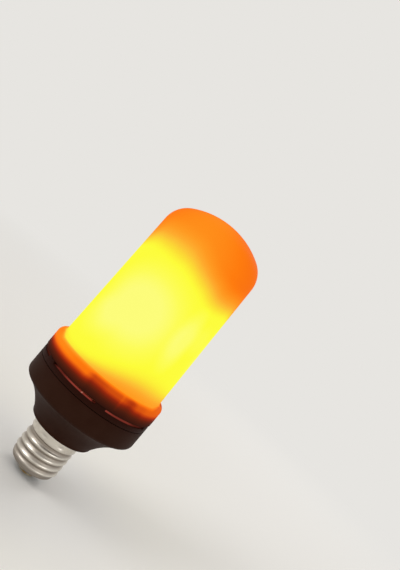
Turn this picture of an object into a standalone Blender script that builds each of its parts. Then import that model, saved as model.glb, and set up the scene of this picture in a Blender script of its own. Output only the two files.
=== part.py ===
# Flame effect LED bulb with a screw cap: a frosted cover with a domed top over a
# cylindrical LED core, a vented ring, a flared driver housing and a rolled screw cap.
# Metres, +Z up towards the dome, origin at the middle of the centre contact's face.
import bpy
import bmesh
import math
from mathutils import Matrix, Vector

mm = 0.001
gap = 0.3 * mm                    # clearance between pieces that touch or fit

# Screw cap, after the usual 27 mm lamp thread
thread_crest_radius = 13.1 * mm
thread_depth = 1.0 * mm
thread_pitch = 3.63 * mm
thread_turns = 4.0
cap_sheet = 0.3 * mm              # the rolled metal sheet
foot_radius = 9.8 * mm            # opening in the bottom of the shell
foot_curl_height = 2.0 * mm
collar_height = 6.0 * mm          # plain band above the thread
crimp_height = 1.2 * mm           # half the height of a dent that grips the spigot
crimp_depth = 0.35 * mm
crimp_spacing = 4                 # facets from one dent to the next
contact_radius = 4.6 * mm
contact_thickness = 1.1 * mm
contact_crown = 0.5 * mm
contact_pin_radius = 1.6 * mm
contact_pin_height = 5.2 * mm
insulator_face_radius = 5.2 * mm
insulator_cone_height = 2.8 * mm
insulator_flange_height = 1.6 * mm

# Cover: tube, dome and flange are one moulded shell
cover_wall = 1.3 * mm
tube_root_radius = 29.4 * mm
tube_height = 72.5 * mm
draft_angle = math.radians(1.2)
dome_corner_radius = 14.0 * mm
crown_rise = 3.96 * mm            # how far the crown stands above the corner's arc
flange_overhang = 3.1 * mm
flange_height = 10.3 * mm
rib_count = 6
rib_thickness = 1.2 * mm
rib_depth = 1.4 * mm
rib_turn = math.radians(12)       # from the middle of a bridge in the vent ring
rib_root = 0.4 * mm               # how deep a rib is rooted in the wall

# Vent ring between the cover and the housing
ring_inset = 0.2 * mm             # how far the ring and housing stand back from the flange
ring_height = 3.45 * mm
ring_width = 4.7 * mm
ring_spigot_height = 3.1 * mm
ledge_width = 5.8 * mm
ledge_thickness = 2.0 * mm
slot_count = 6
slot_angle = math.radians(50)
slot_height = 1.0 * mm
tab_height = 3.0 * mm
tab_thickness = 1.7 * mm
boss_count = 3
boss_radius = 2.9 * mm
boss_height = 7.0 * mm

# Housing: band, shoulder, hollow flare, lip, and the spigot inside the screw cap
housing_wall = 2.0 * mm
band_height = 8.85 * mm
shoulder_radius = 2.2 * mm
shoulder_turn = 60                # degrees that the shoulder's edge turns inwards
flare_height = 13.1 * mm
flare_hollow = 1.35 * mm          # depth of the flare's hollow curve
lip_width = 12.3 * mm             # from the shoulder in to the lip
lip_edge = 1.6 * mm               # rounding under the lip
spigot_wall = 1.85 * mm
spigot_shoulder = 1.4 * mm
spigot_foot_gap = 1.5 * mm        # from the insulator up to the spigot
groove_depth = 0.9 * mm
groove_floor = 2.0 * mm
wire_notch_width = 2.2 * mm
wire_notch_height = 6.0 * mm

# LED core and its boards
board_thickness = 1.2 * mm
core_light_gap = 13.9 * mm        # from the tube's root in to the former
core_wall = 1.5 * mm
core_height = 75.6 * mm
core_flange_thickness = 1.2 * mm
core_top_thickness = 1.6 * mm
flex_thickness = 0.4 * mm
flex_tail_width = 5.6 * mm
led_columns = 12
led_rows = 8
led_width = 2.8 * mm
led_length = 3.5 * mm
led_thickness = 0.8 * mm
top_led_count = 8
top_led_circle = 9.5 * mm
screw_radius = 1.1 * mm
screw_head_radius = 2.2 * mm
screw_head_height = 1.5 * mm
screw_bite = 5.0 * mm             # length of the shank below the boards
wire_hole_radius = 3.0 * mm

# Driver board and what is on it
driver_thickness = 1.6 * mm
driver_head_margin = 1.0 * mm
driver_head_height = 17.0 * mm
capacitor_radius = 4.0 * mm
capacitor_height = 13.0 * mm
inductor_radius = 4.4 * mm
inductor_waist_radius = 2.9 * mm
inductor_height = 7.5 * mm
inductor_flange = 1.2 * mm
film_size = (9.0 * mm, 4.0 * mm, 5.5 * mm)
rectifier_size = (6.4 * mm, 2.4 * mm, 4.8 * mm)
chip_size = (5.0 * mm, 1.5 * mm, 4.0 * mm)
fuse_radius = 1.7 * mm
fuse_height = 8.0 * mm
sensor_radius = 2.2 * mm
sensor_height = 4.2 * mm
wire_radius = 0.5 * mm

# Facets round the larger and the smaller turned pieces
turn_steps = 40
small_steps = 20
core_steps = 32
thread_steps = 32
thread_rows = 6                   # rows for each turn of the thread
arc_steps = 4

# Radii that follow from the sizes above
flange_radius = tube_root_radius + flange_overhang
body_radius = flange_radius - ring_inset
crease_radius = body_radius - shoulder_radius
lip_radius = crease_radius - lip_width
thread_root_radius = thread_crest_radius - thread_depth
spigot_radius = thread_root_radius - cap_sheet - gap
bore_radius = spigot_radius - spigot_wall
collar_inner_radius = thread_crest_radius - cap_sheet
ring_inner_radius = body_radius - ring_width
ring_spigot_radius = body_radius - housing_wall - gap
ledge_radius = ring_inner_radius - ledge_width
core_radius = tube_root_radius - core_light_gap
sleeve_radius = core_radius + gap
board_radius = ring_inner_radius - gap
boss_circle = (ledge_radius + ring_inner_radius) / 2
screw_hole_radius = screw_radius + gap

# Heights that follow, from the centre contact up to the crown
insulator_bottom = contact_thickness + gap
foot_z = insulator_bottom + insulator_cone_height
thread_bottom = foot_z + foot_curl_height
thread_top = thread_bottom + thread_turns * thread_pitch
cap_top = thread_top + collar_height
insulator_flange_z = foot_z + foot_curl_height / 2
insulator_top = insulator_flange_z + insulator_flange_height
crimp_z = cap_top - collar_height / 2
housing_bottom = cap_top + gap
spigot_bottom = insulator_top + spigot_foot_gap
lip_top = housing_bottom + lip_edge
crease_z = lip_top + flare_height
band_bottom = crease_z + shoulder_radius
housing_top = band_bottom + band_height
ring_bottom = housing_top + gap
slot_floor = ring_bottom + ring_height - slot_height
ring_top = ring_bottom + ring_height
ledge_bottom = ring_bottom - ring_spigot_height
ledge_top = ledge_bottom + ledge_thickness
control_bottom = ledge_top + gap
control_top = control_bottom + board_thickness
core_bottom = control_top + gap
core_flange_top = core_bottom + core_flange_thickness
core_top = core_bottom + core_height
skirt_bottom = ring_top + gap
flange_top = skirt_bottom + flange_height
tube_top = flange_top + tube_height

material_looks = {
    "frosted_cover": ((0.90, 0.62, 0.30), 0.45, 0.0),
    "dark_plastic": ((0.08, 0.05, 0.04), 0.45, 0.0),
    "nickel_plate": ((0.72, 0.70, 0.66), 0.25, 1.0),
    "brass": ((0.70, 0.52, 0.25), 0.30, 1.0),
    "black_insulator": ((0.02, 0.02, 0.02), 0.35, 0.0),
    "white_plastic": ((0.80, 0.80, 0.78), 0.50, 0.0),
    "board_green": ((0.05, 0.25, 0.12), 0.50, 0.0),
    "flex_white": ((0.85, 0.83, 0.75), 0.50, 0.0),
    "component_black": ((0.03, 0.03, 0.03), 0.40, 0.0),
    "component_blue": ((0.05, 0.12, 0.35), 0.35, 0.0),
    "component_red": ((0.45, 0.12, 0.06), 0.40, 0.0),
    "ferrite": ((0.10, 0.10, 0.11), 0.60, 0.0),
    "zinc_steel": ((0.60, 0.60, 0.62), 0.35, 1.0),
    "red_wire": ((0.55, 0.04, 0.03), 0.45, 0.0),
    "blue_wire": ((0.04, 0.10, 0.45), 0.45, 0.0),
}


def clear_scene():
    for obj in list(bpy.data.objects):
        bpy.data.objects.remove(obj, do_unlink=True)


def new_collection(name):
    collection = bpy.data.collections.new(name)
    bpy.context.scene.collection.children.link(collection)
    return collection


def make_material(name):
    color, roughness, metallic = material_looks[name]
    material = bpy.data.materials.new(name)
    material.use_nodes = True
    shader = material.node_tree.nodes["Principled BSDF"]
    shader.inputs["Base Color"].default_value = (*color, 1.0)
    shader.inputs["Roughness"].default_value = roughness
    shader.inputs["Metallic"].default_value = metallic
    return material


def add_part(name, data, look):
    part = bpy.data.objects.new(name, data)
    bulb.objects.link(part)
    data.materials.append(make_material(look))
    return part


def add_guide(name, data):
    guide = bpy.data.objects.new(name, data)
    cutters.objects.link(guide)
    guide.hide_render = True
    guide.display_type = "WIRE"
    return guide


def arc(center, radius, start, end, steps=arc_steps):
    """Points on an arc in the radius-height plane, angles in degrees from +radius."""
    points = []
    for i in range(steps + 1):
        angle = math.radians(start + (end - start) * i / steps)
        points.append((center[0] + radius * math.cos(angle), center[1] + radius * math.sin(angle)))
    return points


def bowed_line(start, end, bow, steps=5):
    """An arc from start to end whose middle stands off its chord by bow, to the left."""
    along = Vector(end) - Vector(start)
    side = Vector((-along.y, along.x)).normalized()
    radius = (along.length ** 2 / 4 + bow ** 2) / (2 * bow)
    middle = (Vector(start) + Vector(end)) / 2
    center = middle + side * (bow - radius)
    half = math.asin(along.length / 2 / radius)
    points = []
    for i in range(steps + 1):
        turn = half - 2 * half * i / steps
        points.append(tuple(center + Matrix.Rotation(turn, 2) @ side * radius))
    return points


def profile_mesh(name, points, closed):
    mesh = bpy.data.meshes.new(name)
    edges = [(i, i + 1) for i in range(len(points) - 1)]
    if closed:
        edges.append((len(points) - 1, 0))
    mesh.from_pydata([(r, 0, z) for r, z in points], edges, [])
    return mesh


def spin(part, steps):
    screw = part.modifiers.new("turned", "SCREW")
    screw.angle = math.tau
    screw.steps = steps
    screw.render_steps = steps
    screw.use_merge_vertices = True
    screw.merge_threshold = 0.00001
    screw.use_smooth_shade = True


def turned(name, points, look, steps=turn_steps, closed=True):
    part = add_part(name, profile_mesh(name, points, closed), look)
    spin(part, steps)
    return part


def boolean(part, guide, operation):
    cut = part.modifiers.new(guide.name, "BOOLEAN")
    cut.object = guide
    cut.operation = operation
    cut.solver = "EXACT"


def box_mesh(name, boxes):
    """One mesh of boxes; each is its size and its placing matrix."""
    mesh = bpy.data.meshes.new(name)
    shape = bmesh.new()
    for size, place in boxes:
        bmesh.ops.create_cube(shape, size=1, matrix=place @ Matrix.Diagonal((*size, 1)))
    shape.to_mesh(mesh)
    shape.free()
    return mesh


def rod_mesh(name, rods, steps=small_steps):
    """One mesh of upright cylinders; each is its radius, its height and its foot."""
    mesh = bpy.data.meshes.new(name)
    shape = bmesh.new()
    for radius, height, foot in rods:
        place = Matrix.Translation(Vector(foot) + Vector((0, 0, height / 2)))
        bmesh.ops.create_cone(shape, cap_ends=True, segments=steps, radius1=radius,
                              radius2=radius, depth=height, matrix=place)
    shape.to_mesh(mesh)
    shape.free()
    return mesh


def around(angle, radius, z):
    """A matrix that stands at a radius and height, with +X pointing outwards."""
    return Matrix.Rotation(angle, 4, "Z") @ Matrix.Translation((radius, 0, z))


def smooth_route(points, steps=4):
    """A smooth curve through hand-picked points, as many short straight pieces."""
    knots = [Vector(p) for p in points]
    knots = [2 * knots[0] - knots[1]] + knots + [2 * knots[-1] - knots[-2]]
    route = []
    for i in range(1, len(knots) - 2):
        before, start, end, after = knots[i - 1:i + 3]
        for step in range(steps):
            t = step / steps
            pull = (end - before) * t + (2 * before - 5 * start + 4 * end - after) * t ** 2
            route.append(start + (pull + (3 * start - before - 3 * end + after) * t ** 3) / 2)
    route.append(knots[-2])
    return route


def wire(name, points, look):
    curve = bpy.data.curves.new(name, "CURVE")
    curve.dimensions = "3D"
    curve.bevel_depth = wire_radius
    curve.bevel_resolution = 1
    curve.use_fill_caps = True
    route = smooth_route(points)
    spline = curve.splines.new("POLY")
    spline.points.add(len(route) - 1)
    for point, place in zip(spline.points, route):
        point.co = (*place, 1)
    return add_part(name, curve, look)


def cap_radius(angle, z):
    """Outer radius of the rolled shell: a round-crested thread that fades at both ends."""
    rise = min(1, (z - thread_bottom) / (thread_pitch / 2), (thread_top - z) / (thread_pitch / 2))
    wave = 0.5 - 0.5 * math.cos(math.tau * (z - thread_bottom) / thread_pitch - angle)
    return thread_root_radius + thread_depth * wave * max(0, rise)


def build_screw_cap():
    """The shell is rolled from sheet: crimped collar, thread, and a foot curled inwards."""
    rows = int(thread_turns * thread_rows)
    heights = [thread_bottom + (thread_top - thread_bottom) * i / rows for i in range(rows + 1)]
    heights.reverse()
    crimp_rows = [(cap_top, 0), (crimp_z + crimp_height, 0), (crimp_z, crimp_depth),
                  (crimp_z - crimp_height, 0), (thread_top + thread_depth, 0)]
    curl = arc((foot_radius, thread_bottom), 1, 0, -90, arc_steps)
    rings = []
    for z, depth in crimp_rows:
        ring = [(thread_crest_radius, z)] * thread_steps
        for k in range(0, thread_steps, crimp_spacing):
            ring[k] = (thread_crest_radius - depth, z)
        rings.append(ring)
    for z in heights:
        rings.append([(cap_radius(math.tau * k / thread_steps, z), z) for k in range(thread_steps)])
    for r, z in curl[1:]:
        radius = foot_radius + (r - foot_radius) * (thread_root_radius - foot_radius)
        height = thread_bottom + (z - thread_bottom) * foot_curl_height
        rings.append([(radius, height)] * thread_steps)
    shape = bmesh.new()
    placed = []
    for ring in rings:
        spots = []
        for k, (radius, z) in enumerate(ring):
            angle = math.tau * k / thread_steps
            spots.append(shape.verts.new((radius * math.cos(angle), radius * math.sin(angle), z)))
        placed.append(spots)
    for upper, lower in zip(placed, placed[1:]):
        for k in range(thread_steps):
            after = (k + 1) % thread_steps
            shape.faces.new((upper[k], lower[k], lower[after], upper[after]))
    mesh = bpy.data.meshes.new("screw_cap")
    shape.to_mesh(mesh)
    shape.free()
    mesh.shade_smooth()
    part = add_part("screw_cap", mesh, "nickel_plate")
    sheet = part.modifiers.new("sheet", "SOLIDIFY")
    sheet.thickness = cap_sheet
    sheet.offset = -1
    return part


def build_cap_insulator():
    """A moulded disc held in the curled foot, with a bore for the contact's pin."""
    neck = foot_radius - gap
    flange = spigot_radius
    bore = contact_pin_radius + gap
    points = [(flange, insulator_top), (flange, insulator_flange_z + gap),
              (neck, insulator_flange_z - gap), (neck, foot_z), (insulator_face_radius, insulator_bottom),
              (bore, insulator_bottom), (bore, insulator_top)]
    return turned("cap_insulator", points, "black_insulator", steps=thread_steps)


def build_centre_contact():
    """A crowned disc on a pin that goes up through the insulator."""
    pin_top = contact_thickness + contact_pin_height
    points = [(0, pin_top), (contact_pin_radius, pin_top), (contact_pin_radius, contact_thickness),
              (contact_radius, contact_thickness), (contact_radius, contact_crown),
              (contact_radius / 2, 0), (0, 0)]
    return turned("centre_contact", points, "brass", steps=small_steps, closed=False)


def facing(start, end):
    """The way a line faces that runs down the outer side of a profile."""
    along = (Vector(end) - Vector(start)).normalized()
    return Vector((-along.y, along.x))


def housing_profile():
    """Outer side from the mouth down to the spigot's foot, then up the inner side."""
    shoulder = arc((crease_radius, band_bottom), shoulder_radius, 0, -shoulder_turn)
    flare = bowed_line(shoulder[-1], (lip_radius, lip_top), -flare_hollow)
    inner_top = Vector((crease_radius, crease_z)) - facing(flare[0], flare[1]) * housing_wall
    inner_low = Vector((lip_radius, lip_top)) - facing(flare[-2], flare[-1]) * housing_wall
    inner_flare = bowed_line(inner_top, inner_low, -flare_hollow)
    inner_flare.reverse()
    mouth = body_radius - housing_wall
    step_z = thread_top + spigot_shoulder
    collar = collar_inner_radius - gap
    outer = [(body_radius, housing_top)]
    outer += shoulder
    outer += flare[1:-1]
    outer += arc((lip_radius - lip_edge, lip_top), lip_edge, 0, -90, 3)
    outer += [(collar, housing_bottom), (collar, crimp_z + crimp_height),
              (collar - crimp_depth, crimp_z), (collar, crimp_z - crimp_height), (collar, step_z),
              (spigot_radius, step_z - spigot_shoulder), (spigot_radius, spigot_bottom)]
    inner = [(bore_radius, spigot_bottom), (bore_radius, inner_low.y)]
    inner += inner_flare
    inner += [(mouth, inner_top.y), (mouth, housing_top)]
    return outer + inner, inner_low


def build_housing():
    """A turned shell with two grooves for the driver board and a notch for a wire."""
    points, _ = housing_profile()
    part = turned("housing", points, "dark_plastic")
    bottom = spigot_bottom + groove_floor
    top = lip_top + 2 * housing_wall
    size = (2 * (bore_radius + groove_depth), driver_thickness + 2 * gap, top - bottom)
    groove = box_mesh("driver_groove", [(size, Matrix.Translation((0, 0, (top + bottom) / 2)))])
    boolean(part, add_guide("driver_groove", groove), "DIFFERENCE")
    depth = 2 * spigot_wall
    place = Matrix.Translation((0, -(bore_radius + spigot_wall / 2), spigot_bottom))
    notch = box_mesh("wire_notch", [((wire_notch_width, depth, 2 * wire_notch_height), place)])
    boolean(part, add_guide("wire_notch", notch), "DIFFERENCE")
    return part


def bridge_angles(count, turn=0):
    """Directions of the bridges between the slots; a slot faces -Y."""
    half = math.pi / slot_count
    return [-math.pi / 2 + half + turn + math.tau * i / count for i in range(count)]


def build_vent_ring():
    """A ring with slots open at the top, tabs on its bridges, a spigot and a screwed ledge."""
    tab_outer = flange_radius - cover_wall - gap
    points = [(tab_outer, ring_top + tab_height), (tab_outer, ring_top), (body_radius, ring_top),
              (body_radius, ring_bottom), (ring_spigot_radius, ring_bottom),
              (ring_spigot_radius, ledge_bottom), (ledge_radius, ledge_bottom),
              (ledge_radius, ledge_top), (ring_inner_radius, ledge_top),
              (ring_inner_radius, ring_top), (tab_outer - tab_thickness, ring_top),
              (tab_outer - tab_thickness, ring_top + tab_height)]
    part = turned("vent_ring", points, "dark_plastic")
    bosses = []
    for angle in bridge_angles(boss_count):
        foot = around(angle, boss_circle, ledge_bottom - boss_height) @ Vector((0, 0, 0))
        bosses.append((boss_radius, boss_height + ledge_thickness / 2, foot))
    boolean(part, add_guide("ring_bosses", rod_mesh("ring_bosses", bosses, 12)), "UNION")
    holes = []
    for angle in bridge_angles(boss_count):
        foot = around(angle, boss_circle, ledge_top - screw_bite - 2 * gap) @ Vector((0, 0, 0))
        holes.append((screw_hole_radius, screw_bite + ledge_thickness, foot))
    boolean(part, add_guide("ring_screw_holes", rod_mesh("ring_screw_holes", holes, 12)), "DIFFERENCE")
    boolean(part, add_guide("vent_slots", slot_mesh()), "DIFFERENCE")
    return part


def slot_mesh():
    """Wedges, one for each slot, from the slot's floor to above the tabs."""
    inner = ring_inner_radius - ledge_width / 2
    outer = body_radius + ring_width
    shape = bmesh.new()
    steps = 6
    for i in range(slot_count):
        middle = -math.pi / 2 + math.tau * i / slot_count
        rim = []
        for radius, sense in ((inner, 1), (outer, -1)):
            for k in range(steps + 1):
                angle = middle + sense * slot_angle * (k / steps - 0.5)
                rim.append((radius * math.cos(angle), radius * math.sin(angle), slot_floor))
        floor = shape.faces.new([shape.verts.new(spot) for spot in rim])
        raised = bmesh.ops.extrude_face_region(shape, geom=[floor])
        verts = [item for item in raised["geom"] if isinstance(item, bmesh.types.BMVert)]
        bmesh.ops.translate(shape, verts=verts, vec=(0, 0, slot_height + 2 * tab_height))
    bmesh.ops.recalc_face_normals(shape, faces=shape.faces)
    mesh = bpy.data.meshes.new("vent_slots")
    shape.to_mesh(mesh)
    shape.free()
    return mesh


def cover_profile():
    """Outer face of the cover, from the crown down to the edge of its skirt."""
    tube_top_radius = tube_root_radius - tube_height * math.tan(draft_angle)
    side = tube_top_radius - dome_corner_radius
    rise = dome_corner_radius + crown_rise
    crown_radius = (side ** 2 + rise ** 2 - dome_corner_radius ** 2) / (2 * crown_rise)
    crown_center = (0, tube_top + rise - crown_radius)
    meet = math.degrees(math.atan2(tube_top - crown_center[1], side))
    corner = 0.7 * flange_overhang
    fillet = flange_overhang - corner
    points = arc(crown_center, crown_radius, 90, meet)
    points += arc((side, tube_top), dome_corner_radius, meet, 0, 5)[1:]
    points += arc((tube_root_radius + fillet, flange_top + fillet), fillet, 180, 270, 2)
    points += arc((flange_radius - corner, flange_top - corner), corner, 90, 0)[1:]
    points.append((flange_radius, skirt_bottom))
    return points


def build_diffuser_cover():
    """One thin moulded shell, open below, with stop ribs inside its skirt."""
    points = cover_profile()
    points[0] = (0, points[0][1])
    part = turned("diffuser_cover", points, "frosted_cover", closed=False)
    wall = part.modifiers.new("wall", "SOLIDIFY")
    wall.thickness = cover_wall
    wall.offset = -1
    wall.use_even_offset = True
    ribs = []
    inner = flange_radius - cover_wall
    bottom = skirt_bottom + cover_wall
    top = flange_top - cover_wall + rib_root
    size = (rib_depth + rib_root, rib_thickness, top - bottom)
    radius = inner + rib_root - size[0] / 2
    for angle in bridge_angles(rib_count, rib_turn):
        ribs.append((size, around(angle, radius, (top + bottom) / 2)))
    boolean(part, add_guide("skirt_ribs", box_mesh("skirt_ribs", ribs)), "UNION")
    return part


def screw_holes(name, z, height):
    """Cutters for the three screws that hold the core and its board to the ring."""
    rods = []
    for angle in bridge_angles(boss_count):
        rods.append((screw_hole_radius, height, around(angle, boss_circle, z) @ Vector((0, 0, 0))))
    return add_guide(name, rod_mesh(name, rods, 12))


def build_control_board():
    part = turned("control_board", [(board_radius, control_top), (board_radius, control_bottom),
                                    (wire_hole_radius, control_bottom),
                                    (wire_hole_radius, control_top)], "board_green")
    boolean(part, screw_holes("control_holes", control_bottom - gap, board_thickness + 2 * gap),
            "DIFFERENCE")
    return part


def build_core_former():
    """The moulded former: a foot plate, a tube and a closed top with a screw hole."""
    inner = core_radius - core_wall
    points = [(screw_hole_radius, core_top), (core_radius, core_top), (core_radius, core_flange_top),
              (board_radius, core_flange_top), (board_radius, core_bottom), (inner, core_bottom),
              (inner, core_top - core_top_thickness), (screw_hole_radius, core_top - core_top_thickness)]
    part = turned("core_former", points, "white_plastic", steps=core_steps)
    boolean(part, screw_holes("foot_holes", core_bottom - gap, core_flange_thickness + 2 * gap),
            "DIFFERENCE")
    size = (flex_thickness + led_thickness, flex_tail_width + 4 * gap, 4 * core_flange_thickness)
    radius = core_radius + size[0] / 2 + gap / 2
    tail = box_mesh("tail_slot", [(size, around(math.pi / 2, radius, core_bottom))])
    boolean(part, add_guide("tail_slot", tail), "DIFFERENCE")
    return part


def build_flex_led_board():
    """The wrapped LED board: a thin sleeve, rows of LEDs all round and a soldered tail."""
    bottom = core_flange_top + gap
    outer = sleeve_radius + flex_thickness
    part = turned("flex_led_board", [(outer, core_top), (outer, bottom), (sleeve_radius, bottom),
                                     (sleeve_radius, core_top)], "flex_white", steps=core_steps)
    sunk = flex_thickness / 2
    size = (led_thickness + sunk, led_width, led_length)
    pitch = (core_top - bottom) / led_rows
    leds = []
    for column in range(led_columns):
        angle = math.tau * (column + 0.5) / led_columns
        for row in range(led_rows):
            z = bottom + pitch * (row + 0.5)
            leds.append((size, around(angle, outer - sunk + size[0] / 2, z)))
    tail_top = bottom + led_thickness
    tail_size = (flex_thickness, flex_tail_width, tail_top - core_bottom)
    place = around(math.pi / 2, sleeve_radius + flex_thickness / 2, (tail_top + core_bottom) / 2)
    leds.append((tail_size, place))
    boolean(part, add_guide("sleeve_leds", box_mesh("sleeve_leds", leds)), "UNION")
    return part


def build_top_led_board():
    """The round board on top of the former, with LEDs that light the dome."""
    bottom = core_top + gap
    top = bottom + board_thickness
    radius = core_radius - gap
    part = turned("top_led_board", [(radius, top), (radius, bottom), (screw_hole_radius, bottom),
                                    (screw_hole_radius, top)], "flex_white", steps=core_steps)
    sunk = board_thickness / 2
    size = (led_length, led_width, led_thickness + sunk)
    leds = []
    for i in range(top_led_count):
        leds.append((size, around(math.tau * i / top_led_count, top_led_circle, top - sunk + size[2] / 2)))
    boolean(part, add_guide("top_leds", box_mesh("top_leds", leds)), "UNION")
    return part


def build_screw(name, place, length):
    """A pan head screw whose head seats at its origin, with its shank below."""
    points = [(0, screw_head_height), (screw_head_radius * 0.7, screw_head_height),
              (screw_head_radius, screw_head_height * 0.6), (screw_head_radius, 0),
              (screw_radius, 0), (screw_radius, -length), (0, -length)]
    part = turned(name, points, "zinc_steel", steps=12, closed=False)
    part.matrix_world = place
    return part


def build_screws():
    seat = core_flange_top + gap
    length = seat - ledge_top + screw_bite - gap
    for i, angle in enumerate(bridge_angles(boss_count)):
        build_screw(f"base_screw_{i + 1}", around(angle, boss_circle, seat), length)
    top_seat = core_top + gap + board_thickness + gap
    top_length = board_thickness + core_top_thickness + 2 * gap
    build_screw("top_screw", Matrix.Translation((0, 0, top_seat)), top_length)


def build_driver_board():
    """A T-shaped board: its stem slides in the spigot's grooves, its head rests on the floor."""
    _, floor = housing_profile()
    stem = bore_radius + groove_depth - gap
    head = floor.x - driver_head_margin
    bottom = spigot_bottom + groove_floor + gap
    rest = floor.y + gap
    top = rest + driver_head_height
    outline = [(stem, bottom), (stem, rest), (head, rest), (head, top)]
    outline += [(-x, z) for x, z in reversed(outline)]
    curve = bpy.data.curves.new("driver_board", "CURVE")
    curve.dimensions = "2D"
    curve.fill_mode = "BOTH"
    curve.extrude = driver_thickness / 2
    spline = curve.splines.new("POLY")
    spline.use_cyclic_u = True
    spline.points.add(len(outline) - 1)
    for point, (x, z) in zip(spline.points, outline):
        point.co = (x, z, 0, 1)
    part = add_part("driver_board", curve, "board_green")
    part.rotation_euler = (math.pi / 2, 0, 0)
    return part


def on_board(name, size, x, z, side, look):
    """A boxed component that lies on the driver board; side is +1 or -1 along Y."""
    y = side * (driver_thickness / 2 + gap + size[1] / 2)
    part = add_part(name, box_mesh(name, [(size, Matrix.Translation((x, y, z)))]), look)
    bevel = part.modifiers.new("edges", "BEVEL")
    bevel.width = size[1] / 10
    bevel.segments = 1
    return part


def build_driver_parts():
    """Components on the driver board: the tall ones in front, the flat ones behind."""
    _, floor = housing_profile()
    face = driver_thickness / 2 + gap
    rest = floor.y + gap
    top = rest + driver_head_height
    half = floor.x - driver_head_margin
    side = half - capacitor_radius
    base = rest + (driver_head_height - capacitor_height) / 2
    capacitor = turned("electrolytic_capacitor",
                       [(0, capacitor_height), (capacitor_radius * 0.9, capacitor_height),
                        (capacitor_radius, capacitor_height * 0.96), (capacitor_radius, 0), (0, 0)],
                       "component_blue", steps=small_steps, closed=False)
    capacitor.location = (-side, face + capacitor_radius, base)
    drum = [(0, inductor_height), (inductor_radius, inductor_height),
            (inductor_radius, inductor_height - inductor_flange),
            (inductor_waist_radius, inductor_height - inductor_flange),
            (inductor_waist_radius, inductor_flange), (inductor_radius, inductor_flange),
            (inductor_radius, 0), (0, 0)]
    inductor = turned("inductor", drum, "ferrite", steps=small_steps, closed=False)
    inductor.rotation_euler = (-math.pi / 2, 0, 0)
    inductor.location = (half - inductor_radius, face, rest + inductor_radius + gap)
    on_board("film_capacitor", film_size, half - film_size[0] / 2, top - film_size[2] / 2 - gap, 1,
             "component_red")
    on_board("bridge_rectifier", rectifier_size, -half / 2, (rest + top) / 2, -1, "component_black")
    on_board("driver_chip", chip_size, half / 2, (rest + top) / 2, -1, "component_black")
    fuse = turned("fusible_resistor",
                  [(0, fuse_height), (fuse_radius * 0.7, fuse_height), (fuse_radius, fuse_height * 0.9),
                   (fuse_radius, fuse_height * 0.1), (fuse_radius * 0.7, 0), (0, 0)],
                  "component_red", steps=16, closed=False)
    fuse.location = (0, face + fuse_radius, (rest + spigot_bottom + groove_floor - fuse_height) / 2)


def build_control_parts():
    """The controller and the tilt sensor sit on the control board, inside the former."""
    seat = control_top + gap
    reach = (core_radius - core_wall + wire_hole_radius) / 2
    size = (chip_size[0], chip_size[2], chip_size[1])
    place = Matrix.Translation((-reach, 0, seat + size[2] / 2))
    add_part("controller_chip", box_mesh("controller_chip", [(size, place)]), "component_black")
    sensor = turned("tilt_sensor", [(0, sensor_height), (sensor_radius, sensor_height),
                                    (sensor_radius, 0), (0, 0)], "nickel_plate", steps=16, closed=False)
    sensor.location = (reach, 0, seat)


def build_wires():
    """Live and neutral leads in the cap, and the pair up to the control board."""
    _, floor = housing_profile()
    rest = floor.y + gap
    top = rest + driver_head_height
    lane = driver_thickness / 2 + gap + wire_radius
    stem_bottom = spigot_bottom + groove_floor + gap
    pin_top = contact_thickness + contact_pin_height
    pad = stem_bottom + wire_notch_height / 2
    out = bore_radius / 2
    shell = thread_root_radius - cap_sheet - gap - wire_radius
    wire("live_wire", [(0, 0, pin_top + gap), (0, lane / 2, (pin_top + stem_bottom) / 2),
                       (-out / 2, lane, stem_bottom + wire_radius), (-out, lane, pad)], "red_wire")
    wire("neutral_wire", [(out, -lane, pad), (out / 2, -lane - wire_radius, stem_bottom - wire_radius),
                          (0, -bore_radius + wire_radius, spigot_bottom + wire_notch_height / 3),
                          (0, -shell, spigot_bottom + wire_notch_height / 2)], "blue_wire")
    end = control_bottom - gap
    for name, sense, look in (("led_wire_positive", 1, "red_wire"), ("led_wire_negative", -1, "blue_wire")):
        x = sense * wire_hole_radius * 1.6
        wire(name, [(x, -lane, top - capacitor_radius), (x, -lane, top),
                    (x * 0.9, -lane - wire_radius, (top + end) / 2), (x, -lane, end)], look)


clear_scene()
bulb = new_collection("flame_effect_led_bulb")
cutters = new_collection("cutters")
build_screw_cap()
build_cap_insulator()
build_centre_contact()
build_housing()
build_vent_ring()
build_diffuser_cover()
build_control_board()
build_core_former()
build_flex_led_board()
build_top_led_board()
build_screws()
build_driver_board()
build_driver_parts()
build_control_parts()
build_wires()
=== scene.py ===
import math
from types import SimpleNamespace as Values

import bmesh
import bpy
from mathutils import Matrix, Vector


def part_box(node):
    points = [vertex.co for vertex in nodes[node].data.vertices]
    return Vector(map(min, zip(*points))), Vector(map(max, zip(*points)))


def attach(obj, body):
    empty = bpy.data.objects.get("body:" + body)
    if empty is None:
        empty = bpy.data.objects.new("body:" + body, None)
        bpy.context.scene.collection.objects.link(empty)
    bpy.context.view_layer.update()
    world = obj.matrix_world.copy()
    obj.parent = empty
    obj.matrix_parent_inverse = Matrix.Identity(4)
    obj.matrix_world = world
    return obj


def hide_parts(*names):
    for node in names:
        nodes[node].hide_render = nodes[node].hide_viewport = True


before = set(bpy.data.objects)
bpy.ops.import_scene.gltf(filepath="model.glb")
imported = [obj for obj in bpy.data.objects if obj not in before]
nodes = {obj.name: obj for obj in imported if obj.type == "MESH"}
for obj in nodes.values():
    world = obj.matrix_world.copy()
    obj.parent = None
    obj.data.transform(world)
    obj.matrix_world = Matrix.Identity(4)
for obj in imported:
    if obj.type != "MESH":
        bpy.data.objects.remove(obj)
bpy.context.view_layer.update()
mm = 0.001
near = 0.02    # mm, heights closer than this count as the same
eased = {"interpolation_type": "SMOOTHSTEP"}    # a range that starts and ends softly
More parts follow.
